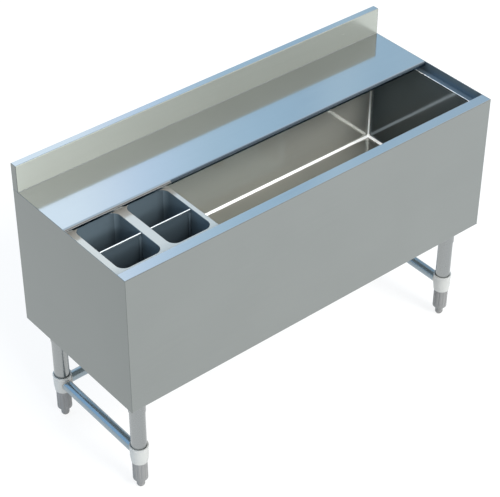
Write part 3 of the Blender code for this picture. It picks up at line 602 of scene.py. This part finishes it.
def make_liner(m):
    """Polished ice bin liner with coves that wear a painted highlight, and a sunk seat for the drain."""
    hole, recess, around, around_under = 0.0172, 0.032, 0.045, 0.046
    seat = BIN_FLOOR - 0.005
    inside = (BIN_LEFT, BIN_RIGHT, BIN_FRONT, BIN_BACK)
    flange = (NARROW_BAR + GAP / 2, INNER_RIGHT, RIM_BACK + GAP, REAR - DECK_RETURN - GAP)
    inner, outer = dish_sides(inside, flange, BIN_FLOOR, BIN_CORNER, BIN_COVE)
    facets = len(inner[0])
    above = softened([
        (hole, seat),
        (recess, seat),
        (recess, BIN_FLOOR),
        (around, BIN_FLOOR),
    ], radius=0.002)
    under = softened([
        (hole, seat - SHEET),
        (recess + SHEET, seat - SHEET),
        (recess + SHEET, BIN_FLOOR - SHEET),
        (around_under, BIN_FLOOR - SHEET),
    ], radius=0.001)
    rings = [raised(circle(r, facets, DRAIN), z) for r, z in above] + inner
    rings += outer[::-1] + [raised(circle(r, facets, DRAIN), z) for r, z in under[::-1]]
    shape = loft(rings, closed=True)

    # Faces of the coves and corners lean toward two axes, a corner's more evenly than a cove's
    level_limit, corner_share, cove_share = 0.2, 0.6, 0.45
    drain_clear = 0.06

    # The coves and corners of the bin wear a painted highlight
    def on_cove_painted_highlight(face):
        least = corner_share if abs(face.normal.z) < level_limit else cove_share
        tilted = sum(abs(part) > least for part in face.normal) > 1
        inside_bin = (BIN_LEFT - TOP_ROLL < face.center.x < BIN_RIGHT + TOP_ROLL
                      and BIN_FRONT - TOP_ROLL < face.center.y < BIN_BACK + TOP_ROLL)
        away = (face.center.x - DRAIN[0]) ** 2 + (face.center.y - DRAIN[1]) ** 2 > drain_clear ** 2
        return tilted and inside_bin and away and face.center.z > BIN_FLOOR - NEAR

    # The bin's end walls wear a painted shade
    def on_end_painted_shade(face):
        return abs(face.normal.x) > FACING and BIN_LEFT - NEAR < face.center.x < BIN_RIGHT + NEAR

    # The liner's flange top wears the ledge's painted shade
    def on_flange_painted_shade(face):
        return face.center.z > FLANGE_TOP - NEAR

    patches = [(m["seam"], on_cove_painted_highlight), (m["liner_end"], on_end_painted_shade), (m["ledge"], on_flange_painted_shade)]
    sheet = make_piece("bin_liner_sheet", shape, m["liner"], ["bin_liner"], patches=patches)
    # The painted highlight faces become a piece of their own, which the seam strip lamp alone lights
    split(sheet, "bin_liner_seams")


def make_dividers(m):
    """Lift-out dividers with a hemmed top edge."""
    half_sheet, half_hem = 0.00075, 0.002
    top = SUNK - 0.002
    foot, hem_low, hem_high = WELL_FLOOR + 0.012, top - 0.011, top - 0.0095
    # The hem's faces above this level wear a painted highlight
    bright = top - 0.0012
    reach = GAP + SHEET + GAP
    right = [
        (half_sheet, foot),
        (half_sheet, hem_low),
        (half_hem, hem_high),
        (half_hem, top - half_hem),
    ]
    for angle in quarter_turn(steps=6)[1:]:
        right.append((half_hem * math.cos(angle), top - half_hem + half_hem * math.sin(angle)))
    outline = [(DIVIDER + a, z) for a, z in right] + [(DIVIDER - a, z) for a, z in right[::-1][1:]]
    on_hem_painted_highlight = lambda face: face.center.z > bright
    for side, (low, high) in WELLS.items():
        name = "well_divider_" + side
        make_piece("divider_plate_" + side, extrude(outline, "x", low + reach, high - reach), m["divider"],
                   [name], body=name, patches=[(m["seam"], on_hem_painted_highlight)])


# Legs, collars, feet and braces

def set_screw(end):
    """Return a set screw that points up, with a hexagonal hole in its end."""
    radius, chamfer, half_flat, hole_depth = 0.003, 0.0003, 0.0013, 0.0015
    facets = 24
    levels = ((radius, TUBE + GAP), (radius, end - chamfer), (radius - chamfer, end))
    rings = [raised(circle(r, facets), z) for r, z in levels]
    hexagon = []
    for index in range(facets):
        degrees = 360 // facets * index
        reach = half_flat / math.cos(math.radians(degrees % 60 - 30))
        hexagon.append((reach * math.cos(math.radians(degrees)), reach * math.sin(math.radians(degrees))))
    rings += [raised(hexagon, end), raised(hexagon, end - hole_depth)]
    return loft(rings)


def make_sockets(m):
    """Leg sockets with a welded flange and their set screws."""
    bore, wall, flange = TUBE + GAP, 0.0228, 0.029
    foot, ceiling, flange_top = 0.270, 0.3302, 0.3342
    screw_level, screw_bore, screw_end = 0.290, 0.0033, wall + 0.001
    weld_in, weld_down, weld_out = wall - 0.0004, ceiling - 0.003, wall + 0.0026
    to_right = Matrix.Rotation(math.pi / 2, 4, "Y")
    to_rear = Matrix.Rotation(-math.pi / 2, 4, "X")
    profile = softened([
        (bore, ceiling),
        (bore, foot),
        (wall, foot),
        (wall, ceiling),
        (flange, ceiling),
        (flange, flange_top),
    ], radius=0.0007)
    bead = [(weld_in, ceiling), (weld_in, weld_down), (weld_out, ceiling)]
    bead = softened(bead, radius=0.0018, closed=True)
    for name, (x, y) in LEGS.items():
        socket = make_piece("socket_" + name, turned(profile, (x, y)), m["tube"],
                            ["leg_socket_" + name])
        lay = Matrix.Translation((x, y, screw_level)) @ (to_rear if name.startswith("rear") else to_right)
        hole = turned([(screw_bore, TUBE), (screw_bore, flange)], (0, 0), facets=32)
        bmesh.ops.transform(hole, matrix=lay, verts=hole.verts)
        carve(socket, hole)
        screw = set_screw(screw_end)
        bmesh.ops.transform(screw, matrix=lay, verts=screw.verts)
        make_piece("screw_" + name, screw, m["insert"], ["set_screw_" + name])
        make_piece("socket_weld_" + name, turned(bead, (x, y), closed=True), m["weld"])


def make_tubes(m):
    """Leg tubes."""
    bore, low, high = TUBE - TUBE_WALL, 0.0973, 0.3299
    corners = [(bore, low), (TUBE, low), (TUBE, high), (bore, high)]
    profile = softened(corners, radius=0.0004, closed=True)
    for name, centre in LEGS.items():
        shape = turned(profile, centre, facets=72, closed=True)
        make_piece("tube_" + name, shape, m["tube"], ["leg_tube_" + name])


def make_collars(m):
    """Cast collars with a raised rim at the top and a tapered foot."""
    bore, foot_radius, stud_hole = TUBE + GAP, 0.0222, 0.012
    rim_foot, body_top = COLLAR_TOP - 0.005, COLLAR_TOP - 0.006
    taper_top, floor = COLLAR_FOOT + 0.020, COLLAR_FOOT + 0.005
    profile = softened([
        (bore, COLLAR_TOP),
        (COLLAR_RIM, COLLAR_TOP),
        (COLLAR_RIM, rim_foot),
        (COLLAR_BODY, body_top),
        (COLLAR_BODY, taper_top),
        (foot_radius, COLLAR_FOOT),
        (stud_hole, COLLAR_FOOT),
        (stud_hole, floor),
        (bore, floor),
    ], radius=0.0012, closed=True)
    for name, centre in LEGS.items():
        shape = turned(profile, centre, facets=72, closed=True)
        make_piece("collar_" + name, shape, m["collar"], ["brace_collar_" + name])


def make_feet(m):
    """Bullet feet with shallow upright flutes below the collar."""
    tip, neck, barrel, stud = 0.0080, 0.0115, 0.0205, 0.005
    neck_low, neck_high, barrel_low, barrel_top, stud_top = 0.005, 0.025, 0.030, 0.0907, 0.1517
    barrel_levels = (0.034, 0.038, 0.042, 0.085, 0.088, 0.0897)
    soft, shoulder, stud_edge = 0.0003, 0.001, 0.0004
    flutes, flute_depth, flute_low, flute_high = 12, 0.0016, 0.040, 0.087
    angles = full_turn(steps=96)
    profile = [(tip, 0), (neck, neck_low), (neck, neck_high), (barrel, barrel_low)]
    profile = softened(profile, radius=0.0025)
    profile += [(barrel, z) for z in barrel_levels]
    profile += [(barrel - soft, barrel_top - soft), (barrel - shoulder, barrel_top), (stud, barrel_top)]
    profile += [(stud, stud_top - stud_edge), (stud - stud_edge, stud_top)]
    for name, (x, y) in LEGS.items():
        rings = []
        for radius, z in profile:
            depth = flute_depth if flute_low < z < flute_high else 0
            ring = []
            for angle in angles:
                reach = radius - max(0, math.cos(angle * flutes)) ** 2 * depth
                ring.append((x + reach * math.cos(angle), y + reach * math.sin(angle), z))
            rings.append(ring)
        node = "bullet_foot_" + name
        make_piece("foot_" + name, loft(rings), m["foot"], [node], body=node)


def saddle(end, direction, radius, reach):
    """Return the points where a level tube of a radius stops a little way off its upright collar."""
    across = Vector((-direction.y, direction.x, 0))
    points = []
    for angle in full_turn(BRACE_FACETS):
        offset = radius * math.sin(angle)
        along = math.sqrt(COLLAR_BODY * COLLAR_BODY - offset * offset) + reach
        points.append(end + direction * along + across * offset + Vector((0, 0, radius * math.cos(angle))))
    return points


def brace_tube(ends, way):
    """Return a tube between two collars, cut round both."""
    rings = []
    for radius in (BRACE, BRACE - TUBE_WALL):
        first = saddle(ends[0], way, radius, GAP)
        last = saddle(ends[1], -way, radius, GAP)
        last = [last[-index % BRACE_FACETS] for index in range(BRACE_FACETS)]
        rings += [first, last] if radius == BRACE else [last, first]
    return loft(rings, closed=True)


def brace_bead(end, direction):
    """Return a rippled weld bead round the end of a brace."""
    stand_off, reach, thickness, ripple = 0.0002, 0.0010, 0.0013, 0.00018
    ripple_facets, sides = 3, 8
    across = Vector((-direction.y, direction.x, 0))
    line = saddle(end, direction, BRACE + stand_off, reach)
    outward = [Vector((0, 0, math.cos(a))) + across * math.sin(a) for a in full_turn(BRACE_FACETS)]
    waves = [math.cos(math.tau * index / ripple_facets) for index in range(BRACE_FACETS)]
    radii = [thickness + ripple * wave for wave in waves]
    sections = []
    for angle in full_turn(sides):
        sections.append([point + (direction * math.cos(angle) + out * math.sin(angle)) * radius
                         for point, out, radius in zip(line, outward, radii)])
    return loft(sections, closed=True)


def make_braces(m):
    """Braces cut round the collars, with their weld beads."""
    spans = {
        "side_brace_left": ("front_left", "rear_left"),
        "side_brace_right": ("front_right", "rear_right"),
        "rear_brace": ("rear_left", "rear_right"),
    }
    for name, pair in spans.items():
        ends = [Vector((*LEGS[leg], BRACE_HEIGHT)) for leg in pair]
        way = (ends[1] - ends[0]).normalized()
        # The braces wear a painted sky reflection
        make_piece(name + "_tube", brace_tube(ends, way), m["brace"], [name])
        beads = [brace_bead(ends[0], way), brace_bead(ends[1], -way)]
        make_piece(name + "_welds", gather(beads), m["weld"])


# Drain

def make_nipple(m):
    """Flanged drain nipple with its thread."""
    bore, nipple, flange = 0.0133, 0.0167, 0.029
    flange_foot, thread_top, outlet = 0.4106, 0.396, 0.308
    chamfer, flange_edge, end_edge = 0.0015, 0.001, 0.001
    pitch, thread_depth, crest = 0.0022, 0.0009, 0.0002
    profile = [
        (bore, DRAIN_TOP - chamfer),
        (bore + chamfer, DRAIN_TOP),
        (flange - chamfer, DRAIN_TOP),
        (flange, DRAIN_TOP - flange_edge),
        (flange, flange_foot),
        (nipple, flange_foot),
        (nipple, thread_top),
    ]
    for index in range(int((thread_top - outlet) / pitch)):
        z = thread_top - index * pitch
        profile += [(nipple, z - crest), (nipple - thread_depth, z - pitch / 2), (nipple, z - pitch + crest)]
    profile += [(nipple - end_edge, outlet), (bore, outlet)]
    shape = turned(profile, DRAIN, facets=48, closed=True)
    make_piece("drain_nipple", shape, m["brass"], ["drain_body"])


def make_strainer(m):
    """Lift-out strainer with a skirt, a small knob and two rings of holes."""
    low, high = DRAIN_TOP + GAP, DRAIN_TOP + GAP + 0.0012
    skirt_in, skirt_out, skirt_foot = 0.0115, 0.0129, low - 0.005
    disc, edge, fine_edge = 0.022, 0.0004, 0.0003
    knob = (
        (0.0042, 0), (0.0026, 0.001), (0.0024, 0.004), (0.003, 0.0055), (0.0026, 0.0075), (0.0012, 0.008),
    )
    hole_rings = ((0.0075, 8, 0.0020), (0.0185, 20, 0.0013))
    hole_facets, overrun = 16, 0.004
    profile = [
        (skirt_in, low),
        (skirt_in, skirt_foot),
        (skirt_out, skirt_foot),
        (skirt_out, low),
        (disc - fine_edge, low),
        (disc, low + edge),
        (disc, high - fine_edge),
        (disc - edge, high),
    ]
    profile += [(radius, high + rise) for radius, rise in knob]
    strainer = make_piece("strainer_disc", turned(profile, DRAIN, facets=48), m["seam"], ["drain_strainer"],
                          body="drain_strainer")
    for ring_radius, count, hole_radius in hole_rings:
        holes = [extrude(circle(hole_radius, hole_facets, at), "z", low - overrun, high + overrun)
                 for at in circle(ring_radius, count, DRAIN)]
        carve(strainer, gather(holes))


def dress_nodes(m):
    """Give every CAD node that stays its material."""
    looks = {
        "bottom_panel": "casing",
        "leg_channel": "frame",
        "ledge_angle": "frame",
        "deck_stiffener": "frame",
        "foot_insert": "insert",
        # The divider guides wear the wells' painted shade
        "divider_guide": "pan",
        "insulation": "foam",
        "drain_locknut": "brass",
        "drain_gasket": "rubber",
    }
    for name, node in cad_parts.items():
        for start, look in looks.items():
            if name.startswith(start):
                node.data.materials.clear()
                node.data.materials.append(m[look])


# Studio

# Colours round the sky, by bearing in degrees: 0 is behind the object and 90 is at its right end
SKY = (
    (-180, 1.10, 1.10, 1.08), (-165, 0.70, 0.71, 0.71), (-150, 0.42, 0.43, 0.44), (-130, 0.42, 0.43, 0.44),
    (-100, 0.65, 0.68, 0.70), (-60, 0.62, 0.95, 1.30), (-42, 0.58, 0.95, 1.40), (-20, 0.70, 1.00, 1.35),
    (10, 1.05, 1.20, 1.35), (28, 1.06, 1.27, 1.47), (32.4, 1.04, 1.24, 1.42), (33.8, 0.89, 1.08, 1.31),
    (35.2, 0.74, 0.97, 1.25), (37.8, 0.57, 0.81, 1.02), (39.5, 0.51, 0.75, 0.97), (41.4, 0.46, 0.70, 0.92),
    (42.7, 0.44, 0.65, 0.86), (43.7, 0.60, 0.82, 1.00), (44.7, 0.44, 0.67, 0.89), (45.8, 0.50, 0.72, 0.91),
    (52, 0.44, 0.62, 0.82), (80, 0.80, 0.84, 0.86), (115, 0.82, 0.83, 0.82), (131, 0.22, 0.23, 0.22),
    (138, 0.20, 0.21, 0.20), (145, 0.17, 0.18, 0.17), (151, 0.16, 0.16, 0.15), (158, 0.60, 0.60, 0.58),
    (168, 1.90, 1.90, 1.88), (176, 1.50, 1.50, 1.48), (180, 1.10, 1.10, 1.08),
)
SKY_STRENGTH = 2.0

# Bands overhead and near the horizon: where each starts and is full, as the upward share of a
# direction, and its colour
SKY_BANDS = (
    (0.70, 0.90, (0.30, 0.36, 0.42)),
    (0.30, 0.10, (0.5, 0.5, 0.5)),
)

# Long lamp at the front
STRIP_SIZE = (8.5, 0.84)
STRIP_PLACE, STRIP_AIM = (-0.1, -2.15, 3.66), (-0.1, 0.2, 0.42)


def make_world():
    """Soft studio surroundings that the steel mirrors."""
    world = bpy.data.worlds.new("studio")
    bpy.context.scene.world = world
    world.use_nodes = True
    tree = world.node_tree
    link = tree.links.new
    background = tree.nodes["Background"]
    background.inputs["Strength"].default_value = SKY_STRENGTH

    # Bearing, as a share of the way round
    place = add(tree, "ShaderNodeTexCoord").outputs["Generated"]
    parts = add(tree, "ShaderNodeSeparateXYZ")
    link(place, parts.inputs["Vector"])
    turn = add(tree, "ShaderNodeMath", operation="ARCTAN2")
    link(parts.outputs["X"], turn.inputs[0])
    link(parts.outputs["Y"], turn.inputs[1])
    share = add(tree, "ShaderNodeMath", operation="MULTIPLY_ADD")
    share.inputs[1].default_value = 1 / math.tau
    share.inputs[2].default_value = 0.5
    link(turn.outputs["Value"], share.inputs[0])

    ramp = add(tree, "ShaderNodeValToRGB")
    stops = ramp.color_ramp.elements
    for index, (angle, *colour) in enumerate(SKY):
        at = angle / 360 + 0.5
        stop = stops[index] if index < 2 else stops.new(at)
        stop.position = at
        stop.color = (*(c / SKY_STRENGTH for c in colour), 1)
    link(share.outputs["Value"], ramp.inputs["Fac"])

    sky = ramp.outputs["Color"]
    for start, full, colour in SKY_BANDS:
        mask = add(tree, "ShaderNodeMapRange", interpolation_type="SMOOTHSTEP")
        mask.inputs["From Min"].default_value = start
        mask.inputs["From Max"].default_value = full
        link(parts.outputs["Z"], mask.inputs["Value"])
        mix = add(tree, "ShaderNodeMix", data_type="RGBA")
        link(mask.outputs["Result"], mix.inputs["Factor"])
        link(sky, mix.inputs[COLOUR_A])
        mix.inputs[COLOUR_B].default_value = (*colour, 1)
        sky = mix.outputs[MIXED]
    link(sky, background.inputs["Color"])


def make_floor():
    """Plain pale floor that keeps a soft shadow and shows white to the camera and the steel."""
    shown_glow = 0.8
    bpy.ops.mesh.primitive_plane_add(size=80, location=(0, 0, 0))
    floor = bpy.context.active_object
    floor.name = "floor"
    material = bpy.data.materials.new("floor_pale")
    material.use_nodes = True
    tree = material.node_tree
    link = tree.links.new
    tree.nodes.clear()
    matte = add(tree, "ShaderNodeBsdfDiffuse", Color=(0.95, 0.95, 0.95, 1))
    glow = add(tree, "ShaderNodeEmission", Color=(1, 1, 1, 1), Strength=1.04)

    # The glow shows to the camera and in mirrored and refracted views, but lights nothing else
    path = add(tree, "ShaderNodeLightPath")
    first = add(tree, "ShaderNodeMath", operation="ADD", use_clamp=True)
    both = add(tree, "ShaderNodeMath", operation="ADD", use_clamp=True)
    link(path.outputs["Is Camera Ray"], first.inputs[0])
    link(path.outputs["Is Glossy Ray"], first.inputs[1])
    link(first.outputs["Value"], both.inputs[0])
    link(path.outputs["Is Transmission Ray"], both.inputs[1])
    share = add(tree, "ShaderNodeMath", operation="MULTIPLY")
    share.inputs[1].default_value = shown_glow
    link(both.outputs["Value"], share.inputs[0])

    mix = add(tree, "ShaderNodeMixShader")
    link(share.outputs["Value"], mix.inputs["Fac"])
    link(matte.outputs["BSDF"], mix.inputs[1])
    link(glow.outputs["Emission"], mix.inputs[2])
    out = add(tree, "ShaderNodeOutputMaterial")
    link(mix.outputs["Shader"], out.inputs["Surface"])
    floor.data.materials.append(material)


def add_lamp(name, kind, energy, place, aim, **settings):
    """Add a lamp at a place, turned to a point."""
    data = bpy.data.lights.new(name, kind)
    data.energy = energy
    for key, value in settings.items():
        setattr(data, key, value)
    lamp = bpy.data.objects.new(name, data)
    lamp.location = place
    lamp.rotation_euler = (Vector(aim) - lamp.location).to_track_quat("-Z", "Y").to_euler()
    bpy.context.collection.objects.link(lamp)
    return lamp


def make_lamps():
    """Lamps that the steel doesn't mirror."""
    # Large and soft, high at the right front
    softbox = add_lamp("softbox", "AREA", energy=30, place=(1.4, -2.0, 3.0), aim=(0, 0, 0.4),
                       shape="DISK", size=1.8)
    # Soft sun from the front that reaches the rear wall of the bin
    window = add_lamp("window", "SUN", energy=2.2, place=(0, -2, 2.4), aim=(-0.10, -1.28, 1.75),
                      angle=math.radians(20), color=(1.0, 0.99, 0.95))
    # Soft spot on the left end of the splash
    spot = add_lamp("spot", "SPOT", energy=300, place=(-1.0, -2.4, 1.9), aim=(-0.85, 0.21, 0.80),
                    spot_size=math.radians(34), spot_blend=1, shadow_soft_size=0.3)
    for lamp in (softbox, window, spot):
        lamp.visible_glossy = False


def make_strip(name, energy, receivers=()):
    """Long lamp that draws the bright lines along rounded folds, or lights only its receivers."""
    width, height = STRIP_SIZE
    lamp = add_lamp(name, "AREA", energy, STRIP_PLACE, STRIP_AIM,
                    shape="RECTANGLE", size=width, size_y=height)
    lamp.visible_diffuse = bool(receivers)
    if receivers:
        group = bpy.data.collections.new(name + "_receivers")
        for receiver in receivers:
            group.objects.link(bpy.data.objects[receiver])
        lamp.light_linking.receiver_collection = group


def make_camera():
    """Camera at the photograph's viewpoint."""
    data = bpy.data.cameras.new("photo_camera")
    data.lens = CAMERA_LENS
    data.sensor_width = 36
    data.clip_end = 200
    camera = bpy.data.objects.new("photo_camera", data)
    turn = Vector(CAMERA_TURN)
    facing = Matrix.Rotation(turn.length, 3, turn.normalized()).transposed() @ Matrix.Diagonal((1, -1, -1))
    camera.matrix_world = Matrix.Translation(CAMERA_PLACE) @ facing.to_4x4()
    bpy.context.collection.objects.link(camera)
    bpy.context.scene.camera = camera


def build():
    """Build every piece and the studio."""
    m = make_materials()
    makers = (
        make_apron, make_ends, make_rear, make_deck, make_splash_ends, make_well_frame, make_pans,
        make_liner, make_dividers, make_sockets, make_tubes, make_collars, make_feet, make_braces,
        make_nipple, make_strainer, dress_nodes,
    )
    for maker in makers:
        maker(m)
    make_world()
    make_floor()
    make_lamps()
    make_strip("strip", energy=12)
    make_strip("seam_strip", energy=580, receivers=["bin_liner_seams"])
    make_camera()
    bpy.context.scene.view_settings.view_transform = "Standard"


build()
